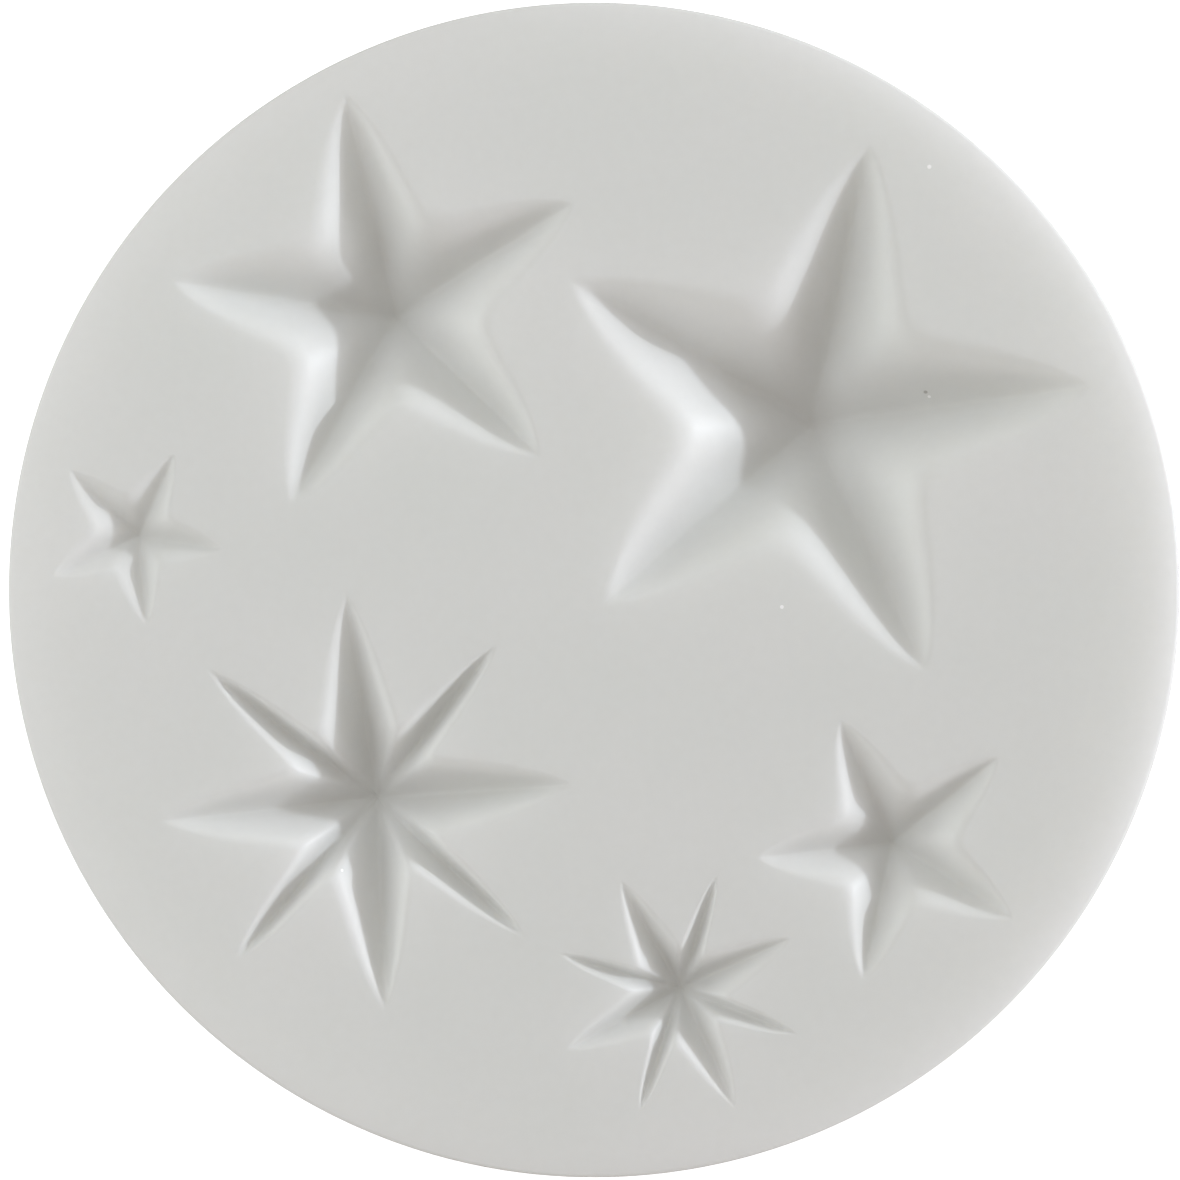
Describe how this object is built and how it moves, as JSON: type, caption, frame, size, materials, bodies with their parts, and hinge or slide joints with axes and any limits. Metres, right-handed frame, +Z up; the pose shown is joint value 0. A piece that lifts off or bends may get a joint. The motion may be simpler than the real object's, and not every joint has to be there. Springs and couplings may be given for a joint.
{
  "type": "silicone star mould",
  "caption": "Round slab of white silicone rubber with faceted star-shaped cavities in its top face, for casting small decorations.",
  "frame": {"origin": "centre of the flat bottom face", "axes": "+Z up, out of the cavities' mouths; +X towards the large star's side; +Y towards the medium star's side"},
  "size_m": [0.08, 0.08, 0.012],
  "materials": {
    "silicone": "smooth, slightly translucent white silicone"
  },
  "bodies": {
    "root": {"mould_body": "silicone"}
  },
  "joints": []
}
